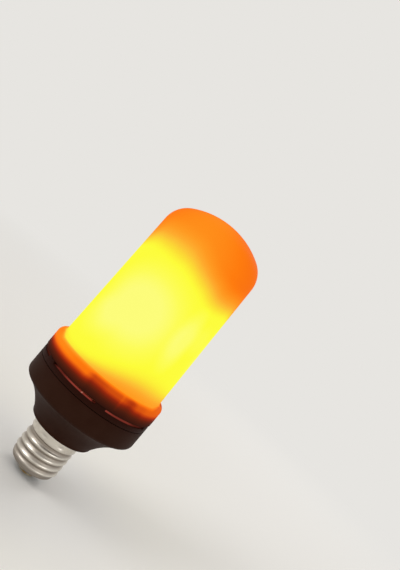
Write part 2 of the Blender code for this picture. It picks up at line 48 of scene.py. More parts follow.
colourMix = {"give": 2, "data_type": "RGBA"}    # a Mix of two colours
print("frame: loaded", len(nodes), "nodes")


# small helpers that every piece uses

def sRgb(code):
    # a hex colour as linear red, green, blue and alpha
    shares = [int(code[i:i + 2], 16) / 255 for i in (1, 3, 5)]
    return [s / 12.92 if s <= 0.04045 else ((s + 0.055) / 1.055) ** 2.4 for s in shares] + [1.0]


def addNode(tree, kind, links=(), give=0, stops=(), **settings):
    # one shader node with its settings, input values or links, and ramp stops; gives back one output
    node = tree.nodes.new("ShaderNode" + kind)
    for key, value in settings.items():
        setattr(node, key, value)
    for i, (spot, look) in enumerate(stops):
        marks = node.color_ramp.elements
        mark = marks[i] if i < 2 else marks.new(spot)
        mark.position = spot
        mark.color = sRgb(look) if isinstance(look, str) else (look, look, look, 1.0)
    for key, value in links.items() if isinstance(links, dict) else enumerate(links):
        if isinstance(value, bpy.types.NodeSocket):
            tree.links.new(value, node.inputs[key])
        else:
            node.inputs[key].default_value = sRgb(value) if isinstance(value, str) else value
    return node.outputs[give]


def newMaterial(name, values):
    material = bpy.data.materials.new(name)
    material.use_nodes = True
    shader = material.node_tree.nodes["Principled BSDF"]
    for key, value in values.items():
        shader.inputs[key].default_value = sRgb(value) if isinstance(value, str) else value
    return material, material.node_tree, shader


def feed(tree, shader, outputs):
    # links each output to the shader's input of that name
    for key, output in outputs.items():
        tree.links.new(output, shader.inputs[key])


def placeInMm(tree, turn=0.0, middle=(0.0, 0.0, 0.0)):
    # object coordinates in millimetres, measured from middle and turned about the bulb's axis
    place = addNode(tree, "TexCoord", give="Object")
    return addNode(tree, "Mapping", {"Vector": place, "Location": [-m for m in middle],
                                     "Scale": (1 / mm,) * 3, "Rotation": (0, 0, math.radians(turn))})


def distance(tree, across, along):
    # how far a point is from the middle, by its two coordinates
    both = addNode(tree, "CombineXYZ", [across, along])
    return addNode(tree, "VectorMath", [both], give=1, operation="LENGTH")


def splitPlace(tree, place):
    # x, y, z and the radius from the z axis
    x, y, z = addNode(tree, "SeparateXYZ", [place]).node.outputs
    return x, y, z, distance(tree, x, y)


def frontAngle(tree, x, y):
    # the angle from the bulb's front towards +X, in radians and in degrees
    front = addNode(tree, "Math", [y, -1.0], operation="MULTIPLY")
    angle = addNode(tree, "Math", [x, front], operation="ARCTAN2")
    return angle, addNode(tree, "Math", [angle, math.degrees(1)], operation="MULTIPLY")


def awayFrom(tree, degrees, middle, count=1):
    # degrees to the nearest of count directions, spread evenly round the bulb, with one at middle
    away = addNode(tree, "Math", [degrees, middle], operation="SUBTRACT")
    away = addNode(tree, "Math", [away, -180 / count, 180 / count], operation="WRAP")
    return addNode(tree, "Math", [away], operation="ABSOLUTE")


def addSteps(tree, level, degrees, steps, **look):
    # a level that changes round the bulb; each step is where it starts and ends, and its change
    for first, last, change in steps:
        step = addNode(tree, "MapRange", [degrees, first, last, 0.0, change], **look)
        level = addNode(tree, "Math", [level, step], operation="ADD")
    return level


def cloudyMaterial(name, values, size, detail, stops, rough=None, relief=None, swirl=0.0):
    # one noise, its size in mm, gives the colour and, where asked, the roughness and the relief
    material, tree, shader = newMaterial(name, values)
    cloud = addNode(tree, "TexNoise", {"Vector": placeInMm(tree), "Scale": 1 / size, "Detail": detail,
                                       "Distortion": swirl})
    feed(tree, shader, {"Base Color": addNode(tree, "ValToRGB", [cloud], stops=stops)})
    if rough:
        feed(tree, shader, {"Roughness": addNode(tree, "MapRange", {0: cloud, 3: rough[0], 4: rough[1]})})
    if relief:
        feed(tree, shader, {"Normal": addNode(tree, "Bump", {
            "Height": cloud, "Strength": relief[0], "Distance": relief[1] * mm})})
    return material


def deselectAll():
    if bpy.context.mode != "OBJECT":
        bpy.ops.object.mode_set(mode="OBJECT")
    bpy.ops.object.select_all(action="DESELECT")


def arcPoints(centre, radius, start, end, count):
    # points in the radius and height plane, angles in degrees
    angles = [math.radians(start + (end - start) * i / count) for i in range(count + 1)]
    return [(centre[0] + radius * math.cos(a), centre[1] + radius * math.sin(a)) for a in angles]


def hollowLine(start, end, depth, count):
    # an arc from start to end, hollow by depth at its middle, its centre on the outer lower side
    chord = Vector(end) - Vector(start)
    outward = Vector((-chord.y, chord.x)).normalized()
    radius = (chord.length ** 2 / 4 + depth ** 2) / (2 * depth)
    centre = (Vector(start) + Vector(end)) / 2 + outward * (radius - depth)
    first, last = [math.degrees(math.atan2(p[1] - centre.y, p[0] - centre.x)) for p in (start, end)]
    return arcPoints(centre, radius, first, last, count)


def extrude(x, y, z):
    # draws the selection out, in mm
    bpy.ops.mesh.extrude_region_move(TRANSFORM_OT_translate={"value": (x * mm, y * mm, z * mm)})


def drawProfile(name, points):
    # a small plane is merged to one vertex, which is drawn out along the profile, point by point
    deselectAll()
    bpy.ops.mesh.primitive_plane_add(size=mm, location=(0, 0, 0))
    piece = bpy.context.object
    piece.name = name
    piece.data.name = name
    bpy.ops.object.mode_set(mode="EDIT")
    bpy.ops.mesh.select_mode(type="VERT")
    bpy.ops.mesh.select_all(action="SELECT")
    bpy.ops.mesh.merge(type="CENTER")
    bpy.ops.transform.translate(value=(points[0][0] * mm, 0, points[0][1] * mm))
    for (r0, z0), (r1, z1) in zip(points, points[1:]):
        extrude(r1 - r0, 0, z1 - z0)
    return piece


def spinProfile(turns):
    # turns the profile that is in edit mode round the bulb's axis
    bpy.ops.mesh.select_all(action="SELECT")
    bpy.ops.mesh.spin(steps=turns, angle=math.tau, center=(0, 0, 0), axis=(0, 0, 1))
    bpy.ops.mesh.select_all(action="SELECT")
    bpy.ops.mesh.remove_doubles(threshold=0.002 * mm)
    bpy.ops.mesh.normals_make_consistent(inside=False)


def pick(piece, kind, test):
    # selects the faces or edges whose middle passes the test on radius, height and angle
    bpy.ops.mesh.select_mode(type="FACE" if kind == "faces" else "EDGE")
    bpy.ops.mesh.select_all(action="DESELECT")
    shape = bmesh.from_edit_mesh(piece.data)
    for item in getattr(shape, kind):
        middle = sum((v.co for v in item.verts), Vector()) / len(item.verts)
        angle = math.degrees(math.atan2(middle.y, middle.x))
        if test(middle.xy.length / mm, middle.z / mm, angle):
            item.select_set(True)
    bmesh.update_edit_mesh(piece.data)


def makeActive(piece):
    deselectAll()
    piece.select_set(True)
    bpy.context.view_layer.objects.active = piece


def addBox(size, middle):
    deselectAll()
    bpy.ops.mesh.primitive_cube_add(size=mm, location=[m * mm for m in middle])
    bpy.ops.transform.resize(value=size)
    return bpy.context.object


def applyModifier(piece, kind, **settings):
    makeActive(piece)
    modifier = piece.modifiers.new(kind.title(), kind)
    for key, value in settings.items():
        setattr(modifier, key, value)
    bpy.ops.object.modifier_apply(modifier=modifier.name)


def roundEdges(piece, width, segments=2, sharper=50):
    # bevels the edges that turn by more than sharper degrees
    applyModifier(piece, "BEVEL", width=width * mm, segments=segments, limit_method="ANGLE",
                  angle_limit=math.radians(sharper))


def joinPieces(main, others):
    makeActive(main)
    for other in others:
        other.select_set(True)
    bpy.ops.object.join()
    return main


def finishPiece(piece, material, node, smooth=35):
    makeActive(piece)
    bpy.ops.object.transform_apply(location=True, rotation=True, scale=True)
    bpy.ops.object.shade_smooth_by_angle(angle=math.radians(smooth))
    piece.data.materials.clear()
    piece.data.materials.append(material)
    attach(piece, "root")
    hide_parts(node)
    print("piece:", piece.name, len(piece.data.polygons), "faces")


# camera

cameraSetup = {
    "lens": 34.1,    # mm, on a 36 mm wide sensor along the picture's long side
    "distance": 268.7,    # mm from the bulb's axis
    "height": 122.1,    # mm above the contact
    "round": 17.4,    # degrees from the front towards +X
    "yaw": 1.42, "pitch": 0.739, "roll": 40.17,    # degrees
    "clipStart": 0.01,    # m
}


def addCamera():
    c = Values(**cameraSetup)
    yaw, pitch, roll = [math.radians(angle) for angle in (c.yaw, c.pitch, c.roll)]
    ahead = Vector((math.sin(yaw) * math.cos(pitch), math.cos(yaw) * math.cos(pitch), math.sin(pitch)))
    side = Vector((math.cos(yaw), -math.sin(yaw), 0))
    up = side.cross(ahead)
    right = math.cos(roll) * side + math.sin(roll) * up
    head = math.cos(roll) * up - math.sin(roll) * side
    turn = Matrix.Rotation(math.radians(c.round), 3, "Z")
    axes = turn @ Matrix((right, head, -ahead)).transposed()
    spot = turn @ Vector((0, -c.distance * mm, c.height * mm))
    deselectAll()
    bpy.ops.object.camera_add(location=spot, rotation=axes.to_euler())
    view = bpy.context.object
    view.name = "photoCamera"
    view.data.lens = c.lens
    view.data.clip_start = c.clipStart
    bpy.context.scene.camera = view


addCamera()
print("camera: placed")


# studio: a pale floor that fades into the backdrop, soft lamps and a plain world

studio = {
    "backdrop": "#E7E5E1",
    "floor": "#ECEAE6", "floorRadius": 6.0,
    "fade": (0.22, 0.95),    # m from the bulb, where the floor turns into the backdrop
    "worldLight": "#FFFDFA", "worldStrength": 0.60,
    "lamps": [                # place in m, size in m, power in W
        ((-0.75, -0.75, 0.80), 0.60, 5.0),
        ((0.90, -0.45, 0.45), 0.70, 2.2),
        ((0.15, 0.95, 0.70), 0.50, 2.6),
    ],
    "aim": (0, 0, 0.08),
}


def addFloor():
    s = Values(**studio)
    deselectAll()
    bpy.ops.mesh.primitive_circle_add(vertices=96, radius=s.floorRadius, fill_type="NGON",
                                      location=(0, 0, 0))
    floor = bpy.context.object
    floor.name = "studioFloor"
    # a roll of matt paper: an even face with hardly any shine
    material, tree, shader = newMaterial("matPaperFloor", {"Base Color": s.floor, "Roughness": 0.7,
                                                           "Specular IOR Level": 0.2})
    place = addNode(tree, "TexCoord", give="Object")
    far = addNode(tree, "VectorMath", [place], give=1, operation="LENGTH")
    blend = addNode(tree, "MapRange", [far, *s.fade], **eased)
    glow = addNode(tree, "Emission", {"Color": s.backdrop, "Strength": 1.0})
    mixed = addNode(tree, "MixShader", [blend, shader.outputs[0], glow])
    tree.links.new(mixed, tree.nodes["Material Output"].inputs["Surface"])
    floor.data.materials.append(material)


def addWorld():
    s = Values(**studio)
    world = bpy.data.worlds.new("studioWorld")
    bpy.context.scene.world = world
    world.use_nodes = True
    tree = world.node_tree
    light = tree.nodes["Background"]
    light.inputs["Color"].default_value = sRgb(s.worldLight)
    light.inputs["Strength"].default_value = s.worldStrength
    plain = addNode(tree, "Background", {"Color": s.backdrop, "Strength": 1.0})
    shown = addNode(tree, "LightPath", give="Is Camera Ray")
    for ray in ("Is Glossy Ray", "Is Transmission Ray"):
        shown = addNode(tree, "Math", [shown, addNode(tree, "LightPath", give=ray)], operation="MAXIMUM")
    mixed = addNode(tree, "MixShader", [shown, light.outputs[0], plain])
    tree.links.new(mixed, tree.nodes["World Output"].inputs["Surface"])


def addLamps():
    for spot, size, power in studio["lamps"]:
        aim = (Vector(studio["aim"]) - Vector(spot)).to_track_quat("-Z", "Y").to_euler()
        bpy.ops.object.light_add(type="AREA", location=spot, rotation=aim)
        lamp = bpy.context.object
        lamp.name = "softLamp"
        lamp.data.size = size
        lamp.data.energy = power


addFloor()
addWorld()
addLamps()
bpy.context.scene.view_settings.view_transform = "Standard"
print("studio: floor, world and lamps")


# the flame that shows through the cover: one brightness field, read through one colour ramp

flame = {
    "facing": 16.8,    # degrees from the front towards +X where the pattern's angles start
    "colours": [              # brightness, colour
        (0.00, "#2A100A"), (0.08, "#4B1A0C"), (0.16, "#681E0A"), (0.24, "#8F240A"), (0.32, "#BE3C09"),
        (0.40, "#E25B0B"), (0.46, "#F8700B"), (0.52, "#FE7B0A"), (0.60, "#FE8D17"), (0.66, "#FE9A20"),
        (0.72, "#FDAA2C"), (0.78, "#FBC434"), (0.83, "#FBDE34"), (0.88, "#FCFC38"), (0.94, "#FCFC58"),
        (1.00, "#FCFC7A"),
    ],
    "yellow": 0.885, "aboveLevel": 0.54, "below": 0.62,    # brightness of the three zones of the tube
    # an edge is its mean height in mm, then swings: size, waves in a turn, shift in degrees
    "upperEdge": (130.5, [(3.75, 1, 60.2), (2.86, 2, 13.9), (1.08, 3, 183.1), (2.23, 4, 112.5),
                          (1.64, 5, -39.4)]),
    "upperFade": (9.5, -12.3),    # mm from the edge where the yellow starts, and where it is full
    "lowerEdge": (68.8, [(2.18, 1, -113.0), (1.79, 2, -70.3), (0.26, 3, -78.0), (0.59, 4, -46.8),
                         (0.37, 5, 177.0)]),
    "lowerWidth": (1.9, [(0.8, 2, -90.0)]),
    "swirlSize": 14, "swirlReach": 3.0,    # mm
    "above": (0.0, [(0.073, 2, 39.1)]),    # the orange at the top is uneven round the bulb
    "aboveRadii": (1.0, 18.0),    # mm from the axis, from even to uneven
    "crown": (140.0, 157.0, 0.0, -0.035),    # heights between which it dims, and by how much
    "coreEdge": (1.12, 0.25),    # of a core's size, where it starts and is full
    "corePale": 0.115,
    "cores": [                # angle, height in mm, half width in degrees, half height, strength
        (-16, 99.5, 51, 24.5, 1.08), (-46, 85.7, 26, 12.6, 0.41), (35.5, 100.3, 14.5, 18.8, 0.78),
        (55, 104.8, 16, 9.4, 0.27), (98, 98, 34, 22, 0.8), (146, 103, 20, 19, 0.9), (-98, 102, 22, 20, 0.8),
        (-156, 98, 46, 25, 1.0),
    ],
    "flangeStart": 0.40,    # the flange's light at the back, then the angles between which it changes
    "flangeSteps": [
        (-165, -155, 0.15), (-75, -55, 0.04), (-45, -15, -0.09), (-14, -4.5, -0.15), (3, 11, 0.02),
        (30, 40, 0.02), (44, 54, 0.03), (95, 115, 0.11), (148, 155, -0.13),
    ],
    "raggedSize": 5, "raggedReach": 3.0,    # mm and degrees, how far those angles wander
    "sink": (0.41, 0.34, 0.0, -0.45),    # a sector's light, and mm that its fade moves up
    "fadeHeights": (56.7, 67.2),
    "fade": [                 # share of the way up the flange, share of the sector's light
        (0.0, 0.0), (0.10, 0.07), (0.20, 0.15), (0.29, 0.25), (0.38, 0.42), (0.48, 0.58), (0.57, 0.77),
        (0.67, 0.95), (0.86, 1.0),
    ],
    "dimSector": (0.52, 0.42),    # light between which ribs and patches come in
    # both repeat with the ribs: middle and half width in degrees, and how strong
    "patchAngle": 32.6, "patchHalf": 8.6, "patchDepth": 0.20,
    "ribAngle": 23.4, "ribHalf": 2.1, "ribGlow": 0.028, "ribFoot": (57.5, 60.0),
    "shoulderRadii": (30.7, 32.75),    # mm, from the tube's light to the flange's own
    "shoulderEdge": (0.10, [(0.25, 1, -85.0)]),
    "sidesFrom": 2.0, "sides": (57.0, 74.0, 0.0, 1.8),    # degrees, and mm that it comes in there
    "root": (0.02, 0.5),    # mm out from the tube's foot, where the flange starts
    "skirtHeights": (66.7, 65.3),    # below them all the light is the flange's
    "grainSize": 0.6, "grainDepth": 0.016,
}


def edgeHeight(tree, angle, base, swings):
    # a height that waves round the bulb; each swing is its size, waves in a turn, and shift in degrees
    for size, count, shift in swings:
        turned = addNode(tree, "Math", [angle, count, math.radians(shift)], operation="MULTIPLY_ADD")
        wave = addNode(tree, "Math", [turned], operation="COSINE")
        base = addNode(tree, "Math", [wave, size, base], operation="MULTIPLY_ADD")
    return base


def wander(tree, value, place, size, reach, **noise):
    # moves a value by up to half of reach either way, in lazy patches of the given size
    cloud = addNode(tree, "TexNoise", {"Vector": place, "Scale": 1 / size, **noise})
    drift = addNode(tree, "Math", [cloud, reach, -reach / 2], operation="MULTIPLY_ADD")
    return addNode(tree, "Math", [value, drift], operation="ADD")


def tubeLight(tree, place, angle, degrees, z, radius):
    f = Values(**flame)
    # yellow under the upper edge, which wanders so that it doesn't look drawn with a compass
    height = wander(tree, z, place, f.swirlSize, f.swirlReach, Detail=1.5, Roughness=0.4)
    upper = edgeHeight(tree, angle, *f.upperEdge)
    fromUpper = addNode(tree, "Math", [height, upper], operation="SUBTRACT")
    lit = addNode(tree, "MapRange", [fromUpper, *f.upperFade], **eased)
    # orange above it
    top = edgeHeight(tree, angle, *f.above)
    spread = addNode(tree, "MapRange", [radius, *f.aboveRadii], **eased)
    top = addNode(tree, "Math", [top, spread, f.aboveLevel], operation="MULTIPLY_ADD")
    crown = addNode(tree, "MapRange", [z, *f.crown])
    top = addNode(tree, "Math", [top, crown], operation="ADD")
    field = addNode(tree, "Mix", {0: lit, 2: top, 3: f.yellow}, data_type="FLOAT")

    # orange again towards the flange: dim is 1 well below the lower edge and 0 well above it
    lower = edgeHeight(tree, angle, *f.lowerEdge)
    dim = addNode(tree, "Math", [z, lower], operation="SUBTRACT")
    dim = addNode(tree, "Math", [dim, edgeHeight(tree, angle, *f.lowerWidth)], operation="DIVIDE")
    dim = addNode(tree, "Math", [dim], operation="EXPONENT")
    dim = addNode(tree, "Math", [dim, 1.0], operation="ADD")
    dim = addNode(tree, "Math", [1.0, dim], operation="DIVIDE")
    field = addNode(tree, "Mix", {0: dim, 2: field, 3: f.below}, data_type="FLOAT")

    # pale cores where the LEDs burn brightest
    for spot, middle, halfWidth, halfHeight, strength in f.cores:
        across = addNode(tree, "Math", [awayFrom(tree, degrees, spot), halfWidth], operation="DIVIDE")
        along = addNode(tree, "Math", [z, middle], operation="SUBTRACT")
        along = addNode(tree, "Math", [along, halfHeight], operation="DIVIDE")
        off = distance(tree, across, along)
        core = addNode(tree, "MapRange", [off, *f.coreEdge, 0.0, f.corePale * strength], **eased)
        field = addNode(tree, "Math", [field, core], operation="ADD")
    return field


def flangeLight(tree, place, degrees, z):
    # the flange is lit from the edge of the boards, in sectors, and fades to dark at its foot
    f = Values(**flame)
    ragged = wander(tree, degrees, place, f.raggedSize, f.raggedReach, Detail=1.0)
    sector = addSteps(tree, f.flangeStart, ragged, f.flangeSteps, **eased)
    # the dimmer a sector is, the higher it starts to fade
    sink = addNode(tree, "MapRange", [sector, *f.sink])
    fade = addNode(tree, "Math", [z, sink], operation="ADD")
    fade = addNode(tree, "MapRange", [fade, *f.fadeHeights])
    fade = addNode(tree, "ValToRGB", [fade], stops=f.fade)
    skirt = addNode(tree, "Math", [sector, fade], operation="MULTIPLY")

    # where a sector is dim, each rib behind the skirt keeps a patch beside it in shade
    shy = addNode(tree, "MapRange", [sector, *f.dimSector])
    aside = awayFrom(tree, degrees, f.patchAngle, cover["ribs"])
    patch = addNode(tree, "MapRange", [aside, f.patchHalf, 0.0, 0.0, -f.patchDepth], **eased)
    patch = addNode(tree, "Math", [patch, shy, 1.0], operation="MULTIPLY_ADD")
    skirt = addNode(tree, "Math", [skirt, patch], operation="MULTIPLY")

    # the rib itself carries a thin streak of light down
    aside = awayFrom(tree, degrees, f.ribAngle, cover["ribs"])
    rib = addNode(tree, "MapRange", [aside, f.ribHalf, 0.0, 0.0, f.ribGlow], **eased)
    reach = addNode(tree, "MapRange", [z, *f.ribFoot], **eased)
    rib = addNode(tree, "Math", [rib, reach], operation="MULTIPLY")
    rib = addNode(tree, "Math", [rib, shy], operation="MULTIPLY")
    return addNode(tree, "Math", [skirt, rib], operation="ADD")


def flangeMask(tree, angle, degrees, z, radius):
    # 0 on the tube and 1 on the flange, from its shoulder down; at the sides the change sits further in
    f = Values(**flame)
    inwards = addNode(tree, "MapRange", [awayFrom(tree, degrees, f.sidesFrom), *f.sides])
    out = addNode(tree, "Math", [radius, inwards], operation="ADD")
    out = addNode(tree, "Math", [out, edgeHeight(tree, angle, *f.shoulderEdge)], operation="ADD")
    out = addNode(tree, "MapRange", [out, *f.shoulderRadii], **eased)
    onFlange = addNode(tree, "MapRange", [radius, *(cover["tubeRoot"] + step for step in f.root)])
    out = addNode(tree, "Math", [out, onFlange], operation="MULTIPLY")
    low = addNode(tree, "MapRange", [z, *f.skirtHeights], **eased)
    return addNode(tree, "Math", [out, low], operation="MAXIMUM")


def frostedPolycarbonate():
    # opal polycarbonate, moulded with a matt face: the light inside drowns the room's, so the face
    # itself is kept dark, and a wide soft sheen is all that the room adds
    f = Values(**flame)
    material, tree, shader = newMaterial("frostedPolycarbonate", {
        "Base Color": "#100805", "Roughness": 0.62, "IOR": 1.585, "Specular IOR Level": 0.005,
        "Emission Strength": 1.0})
    place = placeInMm(tree, -f.facing)
    x, y, z, radius = splitPlace(tree, place)
    angle, degrees = frontAngle(tree, x, y)
    tube = tubeLight(tree, place, angle, degrees, z, radius)
    skirt = flangeLight(tree, place, degrees, z)
    mask = flangeMask(tree, angle, degrees, z, radius)
    field = addNode(tree, "Mix", {0: mask, 2: tube, 3: skirt}, data_type="FLOAT")

    # frosting: a grain of about 0.6 mm, drawn coarser than the real one so that it shows
    grain = addNode(tree, "TexNoise", {"Vector": place, "Scale": 1 / f.grainSize, "Detail": 2.0})
    speck = addNode(tree, "Math", [grain, f.grainDepth, -f.grainDepth / 2], operation="MULTIPLY_ADD")
    field = addNode(tree, "Math", [field, speck], operation="ADD")
    feed(tree, shader, {
        "Emission Color": addNode(tree, "ValToRGB", [field], stops=f.colours),
        "Normal": addNode(tree, "Bump", {"Height": grain, "Strength": 0.25, "Distance": 0.05 * mm})})
    return material


def opalInside():
    # the inner wall of the same cover: milky and slightly uneven, it throws the LEDs' light back
    return cloudyMaterial("opalInside", {
        "Roughness": 0.6, "IOR": 1.585, "Specular IOR Level": 0.2, "Emission Color": "#F0641E",
        "Emission Strength": 0.30}, 8, 2.0, [(0.3, "#5A2C18"), (0.7, "#6E3A20")])


cover = {    # mm and degrees
    "skirtBottom": 56.82, "flangeTop": 67.12, "flangeRadius": 32.5, "flangeRound": 2.55, "rootFillet": 0.4,
    "tubeRoot": 29.4, "tubeTop": 139.62, "draft": 1.2, "domeCorner": 14.0, "crownRise": 3.96,
    "wall": 1.3, "edge": 0.25, "turns": 144,
    "ribs": 6, "firstRib": -48, "ribSize": (1.8, 1.2, 7.7), "ribSunk": 0.4, "ribEdge": 0.2,
}


def coverLine():
    # the outer face, from the crown down to the skirt
    c = Values(**cover)
    topRadius = c.tubeRoot - (c.tubeTop - c.flangeTop) * math.tan(math.radians(c.draft))
    inset = topRadius - c.domeCorner
    rise = c.domeCorner + c.crownRise
    crown = (inset ** 2 + rise ** 2 - c.domeCorner ** 2) / (2 * c.crownRise)
    crownCentre = (0, c.tubeTop + rise - crown)
    meet = math.degrees(math.atan2(c.tubeTop - crownCentre[1], inset))
    fillet, corner = c.rootFillet, c.flangeRound
    line = arcPoints(crownCentre, crown, 90, meet, 16)
    line[0] = (0, line[0][1])
    line += arcPoints((inset, c.tubeTop), c.domeCorner, meet, 0, 14)[1:]
    line += arcPoints((c.tubeRoot + fillet, c.flangeTop + fillet), fillet, 180, 270, 5)
    line += arcPoints((c.flangeRadius - corner, c.flangeTop - corner), corner, 90, 0, 8)[1:]
    return line + [(c.flangeRadius, c.skirtBottom)]


def stopRibs():
    # one stop rib behind the skirt, copied round
    c = Values(**cover)
    inner = c.flangeRadius - c.wall
    depth, _, tall = c.ribSize
    rib = addBox(c.ribSize, (inner + c.ribSunk - depth / 2, 0,
                             c.skirtBottom + c.wall + tall / 2))
    bpy.ops.object.transform_apply(location=True, rotation=True, scale=True)
    bpy.ops.object.mode_set(mode="EDIT")
    pick(rib, "edges", lambda r, z, a: r < inner - depth / 2)
    bpy.ops.mesh.bevel(offset=c.ribEdge * mm, segments=2, affect="EDGES")
    bpy.ops.object.mode_set(mode="OBJECT")
    ribs = []
    for i in range(c.ribs):
        copy = rib.copy()
        copy.data = rib.data.copy()
        bpy.context.collection.objects.link(copy)
        copy.data.transform(Matrix.Rotation(math.radians(c.firstRib + 360 * i / c.ribs), 4, "Z"))
        ribs.append(copy)
    bpy.data.objects.remove(rib)
    return ribs


def buildCover():
    c = Values(**cover)
    shell = drawProfile("flameCover", coverLine())
    spinProfile(c.turns)
    applyModifier(shell, "SOLIDIFY", thickness=c.wall * mm, offset=-1, use_even_offset=True)
    bpy.ops.object.mode_set(mode="EDIT")
    pick(shell, "edges", lambda r, z, a: abs(z - c.skirtBottom) < near)
    bpy.ops.mesh.bevel(offset=c.edge * mm, segments=3, affect="EDGES")
    joinPieces(shell, stopRibs())
    finishPiece(shell, frostedPolycarbonate(), "diffuser_cover")
    # all that faces inwards, and the ribs with it, takes the inner finish, which glows only faintly
    shell.data.materials.append(opalInside())
    for face in shell.data.polygons:
        spot = face.center
        outward = spot.normalized() if spot.z / mm > c.tubeTop else Vector((*spot.xy, 0)).normalized()
        if face.normal.dot(outward) < -0.2 or spot.xy.length / mm < 1.0 and face.normal.z < 0:
            face.material_index = 1


buildCover()


# moulded parts, vent ring and housing, coloured dark brown in painted shade

partsInPaintedShade = {
    # painted shade: these dark browns are how the parts look in the shade of the lit bulb; their plastic
    # itself is believed to be white
    "colour": "#2B1811", "worn": "#38241C", "nearSlots": "#260F0B", "sheen": "#B87048", "roughness": 0.58,
    "tint": (50.0, 55.5, 0.0, 0.8),    # heights between which the plastic is painted darker and redder towards the slots, and how strongly: painted shade and the slots' painted red light
    "slotGlow": "#A8463A", "slotDim": "#250B07", "slotSpark": "#E09480",
    # painted highlight: its angle in degrees from the front, then degrees from it where it starts and is
    # full, and its strength
    "sparkAngle": 11.0, "spark": (1.1, 0.2, 0.0, 0.75),
    "slotStart": 0.35,    # how lit the slots are at the back, then the angles where that changes
    "slotLevels": [(-155, -148, -0.25), (-24, -21, 0.15), (-13, -2, 0.43), (4, 14, -0.10), (28, 34, 0.04),
                   (40, 47, -0.20), (63, 72, -0.27), (88, 94, 0.20)],
    "slotFaint": 0.09,    # light that reaches even the slots' ends
    "slotEnds": [(-25.6, -23.6), (23.2, 20.6)],    # degrees from a slot's middle, where its light starts
    "slotDepths": [(31.9, 30.7), (28.2, 29.5)],    # mm from the axis, where it starts from either side
}


def mouldedAbs(name, lit):
    # ABS from a spark-eroded mould: a fine even grain, faint paler clouds of wear, a soft broad sheen
    # tinted warm as a painted reflection of a room lit by the bulb, and a dark brown that is painted shade
    d = Values(**partsInPaintedShade)
    # painted reflection: the specular tint is warm, for a room lit by the bulb alone
    material, tree, shader = newMaterial(name, {"Roughness": d.roughness, "IOR": 1.54,
                                                "Specular IOR Level": 0.06, "Specular Tint": d.sheen})
    place = placeInMm(tree)
    x, y, z = addNode(tree, "SeparateXYZ", [place]).node.outputs
    cloud = addNode(tree, "TexNoise", {"Vector": place, "Scale": 1 / 9, "Detail": 3.0})
    grain = addNode(tree, "TexNoise", {"Vector": place, "Scale": 1 / 0.5, "Detail": 2.0})
    mixed = addNode(tree, "MapRange", [cloud, 0.35, 0.75, 0.0, 0.35])
    colour = addNode(tree, "Mix", {0: mixed, 6: d.colour, 7: d.worn}, **colourMix)
    # painted light and shade: next to the slots the plastic is painted darker and redder, as if in shade
    # and reddened by the slots' glow
    tint = addNode(tree, "MapRange", [z, *d.tint], **eased)
    rough = addNode(tree, "MapRange", {0: grain, 3: d.roughness - 0.06, 4: d.roughness + 0.10})
    feed(tree, shader, {
        "Base Color": addNode(tree, "Mix", {0: tint, 6: colour, 7: d.nearSlots}, **colourMix),
        "Roughness": rough,
        "Normal": addNode(tree, "Bump", {"Height": grain, "Strength": 0.35, "Distance": 0.04 * mm})})
    if lit:
        # light from inside falls on the slots' floors, brighter further in, and hardly reaches their ends
        degrees = frontAngle(tree, x, y)[1]
        amount = addSteps(tree, d.slotStart, degrees, d.slotLevels)
        slot = addNode(tree, "Math", [degrees, -180 / ring["slots"], 180 / ring["slots"]], operation="WRAP")
        for ends in d.slotEnds:
            inSlot = addNode(tree, "MapRange", [slot, *ends], **eased)
            amount = addNode(tree, "Math", [amount, inSlot], operation="MULTIPLY")
        amount = addNode(tree, "Math", [amount, d.slotFaint], operation="MAXIMUM")
        radius = distance(tree, x, y)
        further = [addNode(tree, "MapRange", [radius, *radii], **eased) for radii in d.slotDepths]
        deep = addNode(tree, "Math", further, operation="MULTIPLY")
        glow = addNode(tree, "Mix", {0: deep, 6: d.slotDim, 7: d.slotGlow}, **colourMix)
        # painted highlight: a small bright spot on the front slot's floor, 11 degrees from the front,
        # brighter deeper in
        spark = addNode(tree, "MapRange", [awayFrom(tree, degrees, d.sparkAngle), *d.spark], **eased)
        spark = addNode(tree, "Math", [spark, deep], operation="MULTIPLY")
        glow = addNode(tree, "Mix", {0: spark, 6: glow, 7: d.slotSpark}, **colourMix)
        feed(tree, shader, {"Emission Color": glow, "Emission Strength": amount})
    return material


ring = {    # mm and degrees
    "outer": 32.3, "inner": 27.6, "top": 56.72, "slotFloor": 55.52, "bottom": 53.07,
    "spigot": 30.0, "ledge": 21.8, "ledgeTop": 51.97, "ledgeBottom": 49.97,
    "tabInner": 29.2, "tabOuter": 30.9, "tabTop": 59.52,
    "slots": 6, "slotAngle": 50, "turns": 144, "edge": 0.18,
    "bosses": 3, "firstBoss": -60, "bossCircle": 24.7, "bossRadius": 2.9, "bossHole": 1.4,
    "bossHeight": 7.0, "bossSunk": 0.2,
    "litHeight": 0.7, "litMargin": 0.05,    # the lit finish goes this far up a slot's end
    "endShift": 0.01,    # degrees, because rounding would else decide which ends take it
}


def screwBosses():
    # under the ledge: a cylinder whose lower face is inset and pushed up into a hole
    c = Values(**ring)
    bosses = []
    for i in range(c.bosses):
        a = math.radians(c.firstBoss + 360 * i / c.bosses)
        deselectAll()
        spot = (c.bossCircle * math.cos(a) * mm, c.bossCircle * math.sin(a) * mm,
                (c.ledgeBottom - c.bossHeight / 2 + c.bossSunk) * mm)
        bpy.ops.mesh.primitive_cylinder_add(vertices=36, radius=c.bossRadius * mm, location=spot,
                                            depth=(c.bossHeight + 2 * c.bossSunk) * mm)
        boss = bpy.context.object
        bpy.ops.object.transform_apply(location=True, rotation=False, scale=False)
        bpy.ops.object.mode_set(mode="EDIT")
        pick(boss, "faces", lambda r, z, a: z < c.ledgeBottom - c.bossHeight + near)
        bpy.ops.mesh.inset(thickness=(c.bossRadius - c.bossHole) * mm)
        extrude(0, 0, c.bossHeight)
        deselectAll()
        bosses.append(boss)
    return bosses


